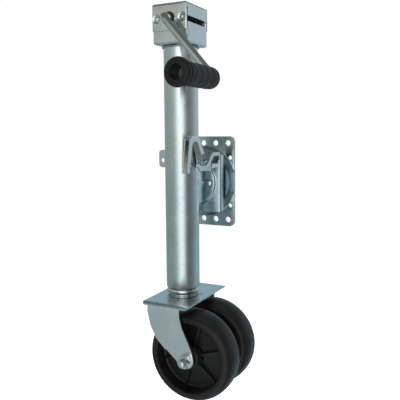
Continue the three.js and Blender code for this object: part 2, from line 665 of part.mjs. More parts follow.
// The lever is a bent channel. Its web follows the inside of the bend, and its cheeks point outwards.
const leverCheek = [[-56.5, 24], [-50.2, 22.5], [-40.5, 68.5], [-36.5, 73], [-24, 73.5], [-20, 70], [-6, 46],
  [-5.4, 42], [-4.6, 29], [-3, 26.5], [4, 26.5], [6, 29], [6.2, 42], [6.6, 46], [4.8, 51], [-14, 76],
  [-18, 81], [-22, 82.5], [-42, 82.5], [-46.5, 80]];
const leverInside = [[-53.1, 18], [-42.5, 68.9], [-37.4, 75], [-23.3, 75.5], [-18.3, 71], [-4.3, 47],
  [-4.3, 40], [30, 40], [30, 100], [-80, 100], [-80, 18]];
const LEVER_SLOT_HALF = 2.4;
const LEVER_SLOT_TOP = 35;
place('lock_lever', cut(
  slab('x', leverCheek, LEVER_LEFT, LEVER_RIGHT, [[LEVER_Y, LEVER_Z, LEVER_STUD_R + GAP]]),
  slab('x', leverInside, LEVER_LEFT + LEVER_WALL, LEVER_RIGHT - LEVER_WALL),
  box(LEVER_LEFT + LEVER_WALL, -15, 20, LEVER_RIGHT - LEVER_WALL, 20, LEVER_Z),
  box(0, LEVER_Y - LEVER_SLOT_HALF, 0, LONG, LEVER_Y + LEVER_SLOT_HALF, LEVER_SLOT_TOP),
));

const LEVER_STUD_END = 44.6;
const LEVER_CLIP_R = 6;
place('lever_stud', cut(
  rod('x', LEVER_STUD_R, 15, LEVER_STUD_END, SMALL, LEVER_Y, LEVER_Z),
  tubeCutter,
), 'steel');
place('lever_clip', ring('x', LEVER_CLIP_R, LEVER_STUD_R + GAP, LEVER_RIGHT + GAP,
  LEVER_RIGHT + 1.8, SMALL, LEVER_Y, LEVER_Z), 'steel');

const PLUNGER_SHOULDER = 33;
const CROSS_PIN_R = 1.8;
place('lock_plunger', cut(turned('y', [
  [0, PLUNGER_END],
  [LOCK_ROD_R - 0.6, PLUNGER_END],
  [LOCK_ROD_R, PLUNGER_END + 0.6],
  [LOCK_ROD_R, PLUNGER_SHOULDER],
  [LOCK_R, PLUNGER_SHOULDER],
  [LOCK_R, DOME_FRONT - 2.4],
  [LOCK_R - 1.4, DOME_FRONT - 0.4],
  [0, DOME_FRONT - 0.4],
], SMALL, LOCK_X, LOCK_Z), rod('x', CROSS_PIN_R + 0.2, 0, LONG, 12, LEVER_Y, LOCK_Z)), 'steel');
place('lock_cross_pin', rod('x', CROSS_PIN_R, LEVER_LEFT - 0.4, LEVER_RIGHT + 0.9, 12,
  LEVER_Y, LOCK_Z), 'steel');

const TAB_FRONT = 8;
const TAB_BACK = 11;
const earBand = [[-38, 38], [-38.6, 34.6], [-36, 31.6], [-26, 27.6], [-13, 26.6], [0, 29.4], [9, 35.4],
  [16, 43], [22, 48.4], [WEB_FRONT - GAP, 48.4], [WEB_FRONT - GAP, 54.4], [19, 54.4], [12, 49.6],
  [4, 40.6], [-4, 35.4], [-13, 33.2], [-25, 34], [-34, 38.6]];
place('lock_bracket', cut(
  join(
    slab('x', earBand, EAR_LEFT, EAR_RIGHT),
    box(30.2, TAB_FRONT, 24, EAR_RIGHT, TAB_BACK, 42),
    box(36, WEB_FRONT - GAP - 2.6, 41, EAR_RIGHT, WEB_FRONT - GAP, 54.4),
  ),
  rod('y', LOCK_ROD_R + GAP, 0, 30, SMALL, LOCK_X, LOCK_Z),
));

const SPRING_WIRE = 0.8;
const SPRING_R = LOCK_ROD_R + SPRING_WIRE + 0.5;
const SPRING_COILS = 6;
const springLow = TAB_BACK + 0.2 + SPRING_WIRE;
const springHigh = PLUNGER_SHOULDER - 0.2 - SPRING_WIRE;

class SpringCurve extends THREE.Curve {
  getPoint(t, target = new THREE.Vector3()) {
    const angle = t * SPRING_COILS * 2 * Math.PI;
    return target.set(LOCK_X + SPRING_R * Math.cos(angle), springLow + t * (springHigh - springLow),
      LOCK_Z + SPRING_R * Math.sin(angle));
  }
}
place('lock_spring', bar(new SpringCurve(), SPRING_WIRE, 5, SPRING_COILS * 8), 'steel');

// ---------- caster ----------

const plateBottom = PLATE_TOP - CASTER_PLATE_WALL;
const CASTER_PLATE_BACK = -38;
const CASTER_PLATE_NOSE = 47.5;
const CASTER_HALF_Y = 76;
const CHAMFER = 4;
const casterOutline = [
  [CASTER_PLATE_NOSE, -CASTER_HALF_Y + CHAMFER], [CASTER_PLATE_NOSE, CASTER_HALF_Y - CHAMFER],
  [CASTER_PLATE_NOSE - CHAMFER, CASTER_HALF_Y], [CASTER_PLATE_BACK + CHAMFER, CASTER_HALF_Y],
  [CASTER_PLATE_BACK, CASTER_HALF_Y - CHAMFER], [CASTER_PLATE_BACK, -CASTER_HALF_Y + CHAMFER],
  [CASTER_PLATE_BACK + CHAMFER, -CASTER_HALF_Y], [CASTER_PLATE_NOSE - CHAMFER, -CASTER_HALF_Y],
];
place('caster_plate', slab('z', casterOutline, plateBottom, PLATE_TOP, [[0, 0, KING_R + 0.4]]));
place('swivel_washer', ring('z', 24, KING_R + 0.4, PLATE_TOP + GAP, LEG_BOTTOM - GAP), 'steel');

const forkInner = FORK_HALF_Y - FORK_WALL;
const forkEnd = roundedOutline(-FORK_HALF_Y, FORK_TOP - 160, FORK_HALF_Y, FORK_TOP, 6);
const forkHollow = roundedOutline(-forkInner, FORK_TOP - 200, forkInner, FORK_TOP - FORK_WALL, 3);
const forkSide = [[29, FORK_TOP], [-31, FORK_TOP], [-32, -207], [-26.5, -230], [-16, -250], [2, -268],
  ...arcPoints(AXLE_X, AXLE_Z, 13.5, -130, 10, 8),
  [50.5, -264], [44, -250], [33.5, -228], [28.5, -211]];
place('caster_fork', cut(
  common(slab('x', forkEnd, -60, 80), slab('y', forkSide, -LONG / 2, LONG / 2)),
  slab('x', forkHollow, -LONG / 2, LONG / 2),
  rod('y', AXLE_R + 0.4, -LONG, LONG, SMALL, AXLE_X, AXLE_Z),
  rod('z', KING_R + 0.4, -LONG, 0, SMALL),
));

place('king_pin', turned('z', [
  [0, -201.2],
  [6, -200.8],
  [11, -198.4],
  [11, FORK_TOP - FORK_WALL - GAP],
  [KING_R, FORK_TOP - FORK_WALL - GAP],
  [KING_R, -164],
  [KING_R - 1, -163],
  [0, -163],
], 14), 'steel');
const KING_NUT_TOP = -166;
place('king_pin_nut', cut(
  hexagon('z', 19, PLUG_TOP + GAP, KING_NUT_TOP, 0, 0),
  rod('z', KING_R + 0.4, -LONG, 0),
), 'steel');

const HUB_INNER = WHEEL_MIDDLE - HUB_HALF;
const HUB_OUTER = WHEEL_MIDDLE + HUB_HALF;
const WHEEL_BORE = 9.7;
const SPOKE_HALF = 2;
const SPOKE_DEPTH = 14;
const wheelProfile = [[WHEEL_BORE + 0.2, -25.6], [17.5, -25.6], [19.5, -4], [55.5, -4], [59, -25.2],
  [66.5, -24.6], [72.4, -20.4], [75.6, -10], [WHEEL_R, 0], [75.6, 10], [72.4, 20.4], [66.5, 24.6],
  [59, 25.2], [55.5, 4], [19.5, 4], [17.5, 25.6], [WHEEL_BORE + 0.2, 25.6]];
const spokeBlocks = [];
for (let i = 0; i < SPOKES; i += 1) {
  const spoke = box(17, -SPOKE_DEPTH, -SPOKE_HALF, 57.5, SPOKE_DEPTH, SPOKE_HALF);
  spoke.rotateY(THREE.MathUtils.degToRad(-15 - i * 360 / SPOKES));
  spokeBlocks.push(spoke);
}
const wheel = join(turned('y', wheelProfile, 28), ...spokeBlocks);
for (const [name, side] of [['near', -1], ['far', 1]]) {
  const placed = wheel.clone();
  placed.translate(AXLE_X, side * WHEEL_MIDDLE, AXLE_Z);
  place(`wheel_${name}`, placed, 'tyre');
  place(`wheel_bushing_${name}`, ring('y', WHEEL_BORE, AXLE_R + GAP, side * WHEEL_MIDDLE - HUB_HALF,
    side * WHEEL_MIDDLE + HUB_HALF, 20, AXLE_X, AXLE_Z), 'steel');
  const inside = side * (HUB_OUTER + GAP);
  const outside = side * (forkInner - GAP);
  place(`axle_washer_${name}`, ring('y', 12, AXLE_R + GAP, Math.min(inside, outside),
    Math.max(inside, outside), 24, AXLE_X, AXLE_Z));
}
place('wheel_spacer', ring('y', 11, AXLE_R + GAP, -HUB_INNER + GAP, HUB_INNER - GAP, 20, AXLE_X, AXLE_Z));

const BOLT_HEAD = FORK_HALF_Y + GAP;
const BOLT_END = -86;
place('axle_bolt', join(
  turned('y', [[0, BOLT_END], [AXLE_R - 1, BOLT_END], [AXLE_R, BOLT_END + 1], [AXLE_R, BOLT_HEAD],
    [0, BOLT_HEAD]], SMALL, AXLE_X, AXLE_Z),
  hexagon('y', 19, BOLT_HEAD, BOLT_HEAD + 8, AXLE_X, AXLE_Z),
));
place('axle_nut', cut(
  hexagon('y', 19, -FORK_HALF_Y - 11, -FORK_HALF_Y - GAP, AXLE_X, AXLE_Z),
  rod('y', AXLE_R + 0.2, -LONG, LONG, SMALL, AXLE_X, AXLE_Z),
));

export default group;
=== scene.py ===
import json
import math
import bmesh
import bpy
from mathutils import Matrix, Vector


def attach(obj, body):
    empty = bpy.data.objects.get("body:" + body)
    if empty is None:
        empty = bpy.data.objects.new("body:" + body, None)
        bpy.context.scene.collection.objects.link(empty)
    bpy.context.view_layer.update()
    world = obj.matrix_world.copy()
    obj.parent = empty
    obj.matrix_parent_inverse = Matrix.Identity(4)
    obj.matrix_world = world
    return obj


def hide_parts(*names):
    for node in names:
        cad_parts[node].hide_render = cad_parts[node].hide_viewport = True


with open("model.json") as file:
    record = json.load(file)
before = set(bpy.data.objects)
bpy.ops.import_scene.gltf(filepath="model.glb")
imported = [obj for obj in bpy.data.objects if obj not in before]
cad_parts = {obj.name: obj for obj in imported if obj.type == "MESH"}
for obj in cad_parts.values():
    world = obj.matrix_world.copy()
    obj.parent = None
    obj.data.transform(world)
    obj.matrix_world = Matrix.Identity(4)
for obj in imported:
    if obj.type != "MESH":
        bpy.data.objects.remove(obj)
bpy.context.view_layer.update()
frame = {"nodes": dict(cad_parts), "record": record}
nodes = frame["nodes"]

# Drawing frame: millimetres, Z is the lift tube's axis, z = 0 the swing pivot, -Y the crank side.
MM = 0.001
PLATE_BACK = 87.0
MOUNT_Z = 77.7
SHIFT = Vector((0.0, -PLATE_BACK, -MOUNT_Z))
TUBE_R = 28.575
TUBE_BORE_R = 25.575
TUBE_TOP = 228.7
TUBE_GAP = 0.3
LEG_TRAVEL = 254.0
WHEELS_STAND_Z = -356.35
CRANK_Z = 269.0
GRIP_X = 89.0
GRIP_Z = 167.5
AXLE_X = 40.0
AXLE_Z = -280.0
LOCK_X = 36.0
LOCK_Z = 31.0
LEVER_Y = 0.5
LEVER_Z = 46.0
PIN_BORE_R = 3.3
CASE_HALF_X = 31.75
RIVET_X = 23
PLATE_HALF_X = 61
PLATE_HALF_Z = 81
PLATE_FRONT = 82
BOLT_PITCH = 24.4
BOLT_ROW_Z = 69.1
STOP_X = 28.5
KING_BORE_R = 6.75
FORK_TOP_Z = -192.3
FORK_HALF_Y = 68


# ---------- materials ----------

def set_stops(node, stops):
    """Gives a colour ramp its stops, each (position, rgb)."""
    elements = node.color_ramp.elements
    while len(elements) < len(stops):
        elements.new(0.5)
    for element, (position, colour) in zip(elements, stops):
        element.position = position
        element.color = (*colour, 1.0)


class Nodes:
    """Small helper to wire a node material."""

    def __init__(self, name):
        self.material = bpy.data.materials.new(name)
        self.material.use_nodes = True
        self.tree = self.material.node_tree
        self.shader = self.tree.nodes["Principled BSDF"]
        self.coords = self.tree.nodes.new("ShaderNodeTexCoord")

    def link(self, a, b):
        self.tree.links.new(a, b)

    def mapped(self, scale, location=(0, 0, 0)):
        mapping = self.tree.nodes.new("ShaderNodeMapping")
        mapping.inputs["Scale"].default_value = scale
        mapping.inputs["Location"].default_value = location
        self.link(self.coords.outputs["Object"], mapping.inputs["Vector"])
        return mapping.outputs["Vector"]

    def noise(self, scale, detail=4.0, rough=0.55, stretch=(1, 1, 1), shift=(0, 0, 0)):
        node = self.tree.nodes.new("ShaderNodeTexNoise")
        node.inputs["Scale"].default_value = scale
        node.inputs["Detail"].default_value = detail
        node.inputs["Roughness"].default_value = rough
        self.link(self.mapped(stretch, shift), node.inputs["Vector"])
        return node.outputs["Fac"]

    def ramp(self, source, stops):
        node = self.tree.nodes.new("ShaderNodeValToRGB")
        set_stops(node, stops)
        self.link(source, node.inputs["Fac"])
        return node.outputs["Color"]

    def span(self, source, low, high, from_low=0.0, from_high=1.0):
        node = self.tree.nodes.new("ShaderNodeMapRange")
        node.inputs["From Min"].default_value = from_low
        node.inputs["From Max"].default_value = from_high
        node.inputs["To Min"].default_value = low
        node.inputs["To Max"].default_value = high
        self.link(source, node.inputs["Value"])
        return node.outputs["Result"]

    def math(self, operation, a, b):
        node = self.tree.nodes.new("ShaderNodeMath")
        node.operation = operation
        for socket, value in zip(node.inputs, (a, b)):
            if isinstance(value, (int, float)):
                socket.default_value = value
            else:
                self.link(value, socket)
        return node.outputs["Value"]

    def mix(self, factor, a, b, blend="MIX"):
        """Mixes two colours; a Mix node keeps its colour sockets at inputs 6 and 7 and output 2."""
        node = self.tree.nodes.new("ShaderNodeMix")
        node.data_type = "RGBA"
        node.blend_type = blend
        if isinstance(factor, (int, float)):
            node.inputs[0].default_value = factor
        else:
            self.link(factor, node.inputs[0])
        for socket, value in ((node.inputs[6], a), (node.inputs[7], b)):
            if isinstance(value, tuple):
                socket.default_value = (*value, 1.0)
            else:
                self.link(value, socket)
        return node.outputs[2]

    def bump(self, height, strength, distance, normal=None):
        node = self.tree.nodes.new("ShaderNodeBump")
        node.inputs["Strength"].default_value = strength
        node.inputs["Distance"].default_value = distance
        self.link(height, node.inputs["Height"])
        if normal is not None:
            self.link(normal, node.inputs["Normal"])
        return node.outputs["Normal"]

    def near(self, centre_mm, radius_mm):
        """1 at a point of the object, falling to 0 at the radius."""
        centre = (Vector(centre_mm) + SHIFT) * MM
        node = self.tree.nodes.new("ShaderNodeVectorMath")
        node.operation = "DISTANCE"
        node.inputs[1].default_value = centre
        self.link(self.coords.outputs["Object"], node.inputs[0])
        return self.span(node.outputs["Value"], 1.0, 0.0, 0.0, radius_mm * MM)


def zinc(name, grain=(1, 1, 1), dark=(0.61, 0.655, 0.66), light=(0.70, 0.745, 0.75), rough=(0.17, 0.30),
         stains_and_shade=(), bump=0.08, mottle=0.7):
    """Zinc plate: mottled grey, with stained spots and painted shade given as (centre, radius, colour) in mm."""
    m = Nodes(name)
    broad = m.noise(26.0, 5.0, 0.6)
    fine = m.noise(420.0, 4.0, 0.6, grain, (3, 1, 7))
    spangle = m.noise(150.0, 3.0, 0.5, (1, 1, 1), (9, 4, 2))
    blue = m.noise(11.0, 3.0, 0.5, (1, 1, 1), (5, 8, 1))
    base = m.ramp(broad, [(0.3, dark), (0.7, light)])
    tint = m.ramp(blue, [(0.35, (0.93, 0.98, 1.0)), (0.50, (0.98, 1.0, 0.985)), (0.66, (1.0, 0.99, 0.93))])
    base = m.mix(1.0, base, tint, "MULTIPLY")
    speck = m.ramp(spangle, [(0.30, (0.90, 0.90, 0.90)), (0.5, (1.0, 1.0, 1.0))])
    base = m.mix(mottle, base, speck, "MULTIPLY")
    # Each spot mixes its colour in: a stain, or painted shade where the list says so.
    for centre, radius, colour in stains_and_shade:
        base = m.mix(m.near(centre, radius), base, colour)
    m.link(base, m.shader.inputs["Base Color"])
    m.shader.inputs["Metallic"].default_value = 1.0
    roughness = m.math("ADD", m.span(broad, rough[0], rough[1], 0.3, 0.7), m.span(fine, -0.04, 0.07))
    m.link(roughness, m.shader.inputs["Roughness"])
    normal = m.bump(fine, bump, 0.0002)
    normal = m.bump(spangle, 0.06, 0.0006, normal)
    m.link(normal, m.shader.inputs["Normal"])
    return m.material


def moulded(name, dark, light, rough, grain_scale, wear_amount):
    """Black plastic with faint scuffs."""
    m = Nodes(name)
    broad = m.noise(34.0, 5.0, 0.6)
    fine = m.noise(grain_scale, 3.0, 0.6, (1, 1, 1), (2, 6, 3))
    scuff = m.noise(60.0, 8.0, 0.75, (1, 1, 3), (8, 1, 5))
    base = m.ramp(broad, [(0.3, dark), (0.7, light)])
    marks = m.ramp(scuff, [(0.60, (0, 0, 0)), (0.72, (1, 1, 1))])
    base = m.mix(m.math("MULTIPLY", marks, wear_amount), base, (0.03, 0.03, 0.03))
    m.link(base, m.shader.inputs["Base Color"])
    m.link(m.span(scuff, rough[0], rough[1], 0.3, 0.7), m.shader.inputs["Roughness"])
    m.shader.inputs["Specular IOR Level"].default_value = 0.20
    m.link(m.bump(fine, 0.25, 0.0002), m.shader.inputs["Normal"])
    return m.material


def turned_metal(name, dark, light, rough=(0.25, 0.45)):
    m = Nodes(name)
    broad = m.noise(40.0, 4.0, 0.6)
    fine = m.noise(700.0, 3.0, 0.6, (1, 1, 1), (1, 5, 2))
    m.link(m.ramp(broad, [(0.3, dark), (0.7, light)]), m.shader.inputs["Base Color"])
    m.shader.inputs["Metallic"].default_value = 1.0
    m.link(m.span(fine, rough[0], rough[1]), m.shader.inputs["Roughness"])
    m.link(m.bump(fine, 0.1, 0.0001), m.shader.inputs["Normal"])
    return m.material


PURPLE = (0.30, 0.20, 0.26)
BROWN = (0.34, 0.25, 0.20)
GAP_SHADE = (0.05, 0.12, 0.13)
mat_tube = zinc("zinc_tube", (6, 6, 0.35), bump=0.10,
                stains_and_shade=[((20, -20, 226), 9, BROWN), ((14, -26, -174), 8, PURPLE)])
mat_case = zinc("zinc_case", rough=(0.16, 0.28))
# Painted shade: dark teal spots on the dome's flat top beside the bracket flange, where the flange shades it.
painted_gap_shade = [((50, 67, z), 14, GAP_SHADE) for z in (-24, -12, 0, 12, 24)]
mat_sheet = zinc("zinc_sheet", (1.4, 1, 1), dark=(0.42, 0.49, 0.53), light=(0.54, 0.62, 0.66),
                 rough=(0.16, 0.32), stains_and_shade=[((50, 80, -38), 12, BROWN)] + painted_gap_shade)
mat_bracket = zinc("zinc_bracket", (1, 1, 1.5), dark=(0.50, 0.56, 0.58), light=(0.62, 0.68, 0.70),
                   rough=(0.15, 0.28),
                   stains_and_shade=[((44, 46, 46), 8, BROWN), ((13, 34, 38), 9, PURPLE), ((13, 34, -38), 9, PURPLE)])
mat_lever = zinc("zinc_lever", (1, 1, 0.6), rough=(0.14, 0.26))
# Painted shade: a darker copy of the lever zinc for the channel's inner faces.
mat_channel_painted_shade = zinc("zinc_channel_painted_shade", (1, 1, 0.6), dark=(0.30, 0.29, 0.285), light=(0.44, 0.43, 0.42),
                   rough=(0.22, 0.36))
mat_rod = zinc("zinc_rod", (2, 2, 2), dark=(0.60, 0.585, 0.56), light=(0.70, 0.68, 0.65), rough=(0.15, 0.26),
               bump=0.05)
mat_caster = zinc("zinc_caster", (1, 1.3, 1), dark=(0.53, 0.60, 0.64), light=(0.61, 0.68, 0.72),
                  stains_and_shade=[((30, 4, -190), 10, PURPLE)])
mat_fork = zinc("zinc_fork", (1, 1.3, 1), dark=(0.74, 0.75, 0.76), light=(0.80, 0.81, 0.82), rough=(0.23, 0.28),
                bump=0.04, mottle=0.25)
mat_foot = zinc("zinc_foot", rough=(0.18, 0.32), stains_and_shade=[((22, -17, -183), 9, PURPLE), ((4, -28, -183), 5, BROWN)])
mat_weld = zinc("weld_bead", dark=(0.26, 0.26, 0.27), light=(0.52, 0.54, 0.55), rough=(0.3, 0.55), bump=0.5)
mat_steel = turned_metal("bare_steel", (0.34, 0.35, 0.36), (0.56, 0.57, 0.58))
mat_bolt = turned_metal("plated_bolt", (0.50, 0.53, 0.54), (0.74, 0.76, 0.76), (0.2, 0.38))
mat_spring = turned_metal("spring_steel", (0.30, 0.26, 0.25), (0.46, 0.40, 0.38), (0.25, 0.4))
mat_bronze = turned_metal("oiled_bronze", (0.045, 0.042, 0.038), (0.085, 0.08, 0.07), (0.3, 0.5))
mat_grip = moulded("grip_plastic", (0.008, 0.008, 0.008), (0.014, 0.014, 0.014), (0.40, 0.55), 900.0, 0.25)
mat_wheel = moulded("wheel_plastic", (0.0085, 0.008, 0.0075), (0.014, 0.013, 0.0125), (0.24, 0.38), 500.0, 0.3)

slot_material = {"zinc_plate": mat_case, "bare_steel": mat_steel, "bronze": mat_bronze,
                 "grip_plastic": mat_grip, "wheel_plastic": mat_wheel}
for part in frame["record"]["subparts"]:
    mesh = nodes[part["node"]].data
    mesh.materials.clear()
    mesh.materials.append(slot_material[part["material_slot"]])


# ---------- geometry ----------

def mesh_of(name, points, faces):
    mesh = bpy.data.meshes.new(name)
    mesh.from_pydata([(Vector(p) + SHIFT) * MM for p in points], [], faces)
    mesh.update()
    obj = bpy.data.objects.new(name, mesh)
    bpy.context.scene.collection.objects.link(obj)
    work = bmesh.new()
    work.from_mesh(mesh)
    bmesh.ops.remove_doubles(work, verts=work.verts, dist=1e-7)
    bmesh.ops.recalc_face_normals(work, faces=work.faces)
    work.to_mesh(mesh)
    work.free()
    return obj


def turned(name, axis, profile, facets=96, u=0.0, v=0.0):
    """Solid of revolution; profile points are (radius, distance along the axis)."""
    points, faces = [], []
    rows = []
    for r, h in profile:
        count = 1 if r < 1e-6 else facets
        rows.append((len(points), count))
        for i in range(count):
            a = 2 * math.pi * i / facets
            s, t = r * math.cos(a), r * math.sin(a)
            points.append({"z": (u + s, v + t, h), "y": (u + s, h, v + t), "x": (h, u + s, v + t)}[axis])
    for k, (start, count) in enumerate(rows):
        after, after_count = rows[(k + 1) % len(rows)]
        if count == 1 and after_count == 1:
            continue
        for i in range(facets):
            j = (i + 1) % facets
            if count == 1:
                faces.append((start, after + i, after + j))
            elif after_count == 1:
                faces.append((start + i, after, start + j))
            else:
                faces.append((start + i, after + i, after + j, start + j))
    return mesh_of(name, points, faces)


def rod(name, axis, r, lo, hi, u=0.0, v=0.0, facets=48):
    return turned(name, axis, [(0, lo), (r, lo), (r, hi), (0, hi)], facets, u, v)


def slab(name, normal, outline, lo, hi):
    """Flat outline made solid between two heights along its normal."""
    order = {"x": lambda a, b, h: (h, a, b),
             "y": lambda a, b, h: (a, h, b),
             "z": lambda a, b, h: (a, b, h)}[normal]
    n = len(outline)
    points = [order(a, b, lo) for a, b in outline] + [order(a, b, hi) for a, b in outline]
    faces = [tuple(range(n)), tuple(range(2 * n - 1, n - 1, -1))]
    faces += [(i, (i + 1) % n, n + (i + 1) % n, n + i) for i in range(n)]
    return mesh_of(name, points, faces)


def box(name, x0, y0, z0, x1, y1, z1):
    return slab(name, "z", [(x0, y0), (x1, y0), (x1, y1), (x0, y1)], z0, z1)


def arc(a, b, r, start, end, steps):
    return [(a + r * math.cos(math.radians(start + (end - start) * i / steps)),
             b + r * math.sin(math.radians(start + (end - start) * i / steps))) for i in range(steps + 1)]


def rounded(a0, b0, a1, b1, r, steps=8):
    points = []
    for k, (a, b) in enumerate([(a1 - r, b1 - r), (a0 + r, b1 - r), (a0 + r, b0 + r), (a1 - r, b0 + r)]):
        points += arc(a, b, r, 90 * k, 90 * k + 90, steps)
    return points


def filleted(outline, radius):
    """Rounds every corner of an outline by up to the radius."""
    steps = 5
    points = []
    n = len(outline)
    for i in range(n):
        p = Vector(outline[i])
        before, after = Vector(outline[i - 1]) - p, Vector(outline[(i + 1) % n]) - p
        cut_a = min(radius, before.length * 0.45)
        cut_b = min(radius, after.length * 0.45)
        a, b = p + before.normalized() * cut_a, p + after.normalized() * cut_b
        for k in range(steps + 1):
            t = k / steps
            q = a * (1 - t) ** 2 + p * 2 * t * (1 - t) + b * t ** 2
            points.append((q.x, q.y))
    return points


def combine(obj, operation, *tools):
    """Boolean of a piece with each tool in turn. Tools reach past the piece and are used up."""
    for tool in tools:
        m = obj.modifiers.new("solid", "BOOLEAN")
        m.operation = operation
        m.solver = "EXACT"
        m.object = tool
    bpy.context.view_layer.update()
    done = bpy.data.meshes.new_from_object(obj.evaluated_get(bpy.context.evaluated_depsgraph_get()))
    obj.modifiers.clear()
    obj.data = done
    for tool in tools:
        bpy.data.objects.remove(tool)
    return obj


def sweep(name, path, radius, facets=28, closed=False):
    """Round bar along a path of points; radius may be a list."""
    pts = [Vector(p) for p in path]
    n = len(pts)
    radii = radius if isinstance(radius, list) else [radius] * n
    tangents = []
    for i in range(n):
        a = pts[i - 1] if (i > 0 or closed) else pts[0]
        b = pts[(i + 1) % n] if (i < n - 1 or closed) else pts[-1]
        tangents.append((b - a).normalized())
    side = tangents[0].orthogonal().normalized()
    points, faces = [], []
    for i in range(n):
        side = (side - tangents[i] * side.dot(tangents[i])).normalized()
        other = tangents[i].cross(side)
        for k in range(facets):
            a = 2 * math.pi * k / facets
            points.append(pts[i] + (side * math.cos(a) + other * math.sin(a)) * radii[i])
    for i in range(n if closed else n - 1):
        for k in range(facets):
            j = (k + 1) % facets
            a, b = i * facets, ((i + 1) % n) * facets
            faces.append((a + k, a + j, b + j, b + k))
    if not closed:
        faces.append(tuple(range(facets)))
        faces.append(tuple(range((n - 1) * facets, n * facets)))
    return mesh_of(name, points, faces)


def finish_piece(obj, material, body, stands_for=(), bevel=0.0, segments=3, angle=32):
    mesh = obj.data
    mesh.materials.clear()
    mesh.materials.append(material)
    for face in mesh.polygons:
        face.use_smooth = True
        face.material_index = 0
    mesh.set_sharp_from_angle(angle=math.radians(angle))
    if bevel:
        m = obj.modifiers.new("edge", "BEVEL")
        m.width = bevel * MM
        m.segments = segments
        m.limit_method = "ANGLE"
        m.angle_limit = math.radians(angle)
        m.harden_normals = True
    if stands_for:
        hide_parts(*stands_for)
    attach(obj, body)
    return obj


def bead(name, path, radius, material, body, wobble=0.25, closed=False):
    """Weld bead: a bar with two ripples of different length along it."""
    radii = [radius * (1 + wobble * math.sin(i * 1.9) * 0.5 + wobble * math.sin(i * 0.7 + 1) * 0.5)
             for i in range(len(path))]
    return finish_piece(sweep(name, path, radii, 12, closed), material, body, angle=60)


def hexagon(name, axis, flats, lo, hi, u, v):
    """Six-sided nut or bolt head with its corners chamfered at both ends."""
    chamfer = 1.4 * 0.7
    r = flats / math.sqrt(3)
    nut = turned(name, axis, [(0, lo), (r, lo), (r, hi), (0, hi)], 6, u, v)
    cone = turned(name + "_cone", axis,
                  [(0, lo), (flats / 2 + 0.2, lo), (r + 0.3, lo + chamfer), (r + 0.3, hi - chamfer),
                   (flats / 2 + 0.2, hi), (0, hi)], 64, u, v)
    return combine(nut, "INTERSECT", cone)


# Outer tube
tube = turned("tube_skin", "z",
              [(TUBE_BORE_R, -175), (26.0, -176), (27.7, -176), (28.3, -175.6), (TUBE_R, -174.6), (TUBE_R, 224),
               (TUBE_R, TUBE_TOP), (TUBE_BORE_R, TUBE_TOP)], 128)
finish_piece(tube, mat_tube, "jack", ["outer_tube"])
bead("tube_top_weld",
     [(29.6 * math.cos(a / 60 * math.tau), 29.6 * math.sin(a / 60 * math.tau), 227.0) for a in range(60)],
     1.45, mat_weld, "jack", 0.12, True)

# Left lug
lug = slab("side_lug_skin", "y", rounded(-44, 29, -10, 59, 6), -1.5, 1.5)
combine(lug, "DIFFERENCE", rod("t", "y", 3.6, -5, 5, -37, 41), rod("t2", "z", TUBE_R + TUBE_GAP, -300, 300))
finish_piece(lug, mat_bracket, "jack", ["tube_lug"], 0.5)
for side, offset in (("a", -2.2), ("b", 2.2)):
    bead("lug_weld_" + side,
         [(-math.sqrt(TUBE_R ** 2 - offset ** 2) - 0.5, offset, 31 + i * 1.4) for i in range(19)],
         1.1, mat_weld, "jack")

# Saddle block between tube and bracket
saddle = slab("saddle_skin", "y", rounded(-13, -40, 13, 40, 3), 15, 44.7)
combine(saddle, "DIFFERENCE", rod("t", "z", TUBE_R + TUBE_GAP, -300, 300, facets=96))
finish_piece(saddle, mat_bracket, "jack", ["saddle_block"], 0.4)
for name, side in (("left", -1), ("right", 1)):
    bead("saddle_weld_" + name, [(side * 14.0, 25.6, -37 + i * 1.3) for i in range(58)],
         1.5, mat_weld, "jack", 0.3)


# Gear case: a cover that stands over the open top of a base
def case_block(name, hx, hy, z0, z1):
    """Block with rounded edges, cut from three outlines."""
    r = 5.0
    a = slab(name, "y", rounded(-hx, z0, hx, z1, r), -hy, hy)
    b = slab(name + "_b", "x", rounded(-hy, z0, hy, z1, r), -hx, hx)
    c = slab(name + "_c", "z", rounded(-hx, -hy, hx, hy, 2.2, 5), z0 - 1, z1 + 1)
    return combine(a, "INTERSECT", b, c)


cover = case_block("case_cover_skin", CASE_HALF_X, 37.5, 240, 293)
combine(cover, "DIFFERENCE",
        box("t1", -29.25, -35, 0, 29.25, 35, 290.5),
        box("t2", -90, -90, 0, 90, 90, 250),
        box("t3", -90, 0, 0, 90, 90, 256),
        box("t4", -90, -35, 0, 90, 35, 271),
        rod("t5", "y", 10, -90, 0, 0, CRANK_Z, 64),
        box("t6", 28, -35.7, 260, 40, -34.4, 281),
        rod("t7", "x", 1.9, 28, 40, -35.2, 281.5),
        box("t8", -40, -35.7, 260, -28, -34.4, 281),
        rod("t9", "x", 1.9, -40, -28, -35.2, 281.5))
RIVET_DIMPLE = [(0, 39), (8.6, 39), (7.6, 37.4), (5.6, 36.6), (5.2, 36.4), (0, 36.4)]
RIVET_PROFILE = [(0, 39.9), (1.5, 39.7), (2.9, 39.1), (3.9, 38.2), (4.3, 37.2), (4.3, 36.7), (2.4, 36.7),
                 (2.4, 31.5), (3.4, 31.5), (3.4, 30.3), (0, 30.3)]
for x in (-RIVET_X, RIVET_X):
    for side in (-1, 1):
        combine(cover, "DIFFERENCE",
                turned("t", "y", [(r, side * h) for r, h in RIVET_DIMPLE], 40, x, CRANK_Z),
                rod("t2", "y", 2.7, min(0, side * 90), max(0, side * 90), x, CRANK_Z))
finish_piece(cover, mat_case, "jack", ["gear_case_cover"], 0.45, 2)

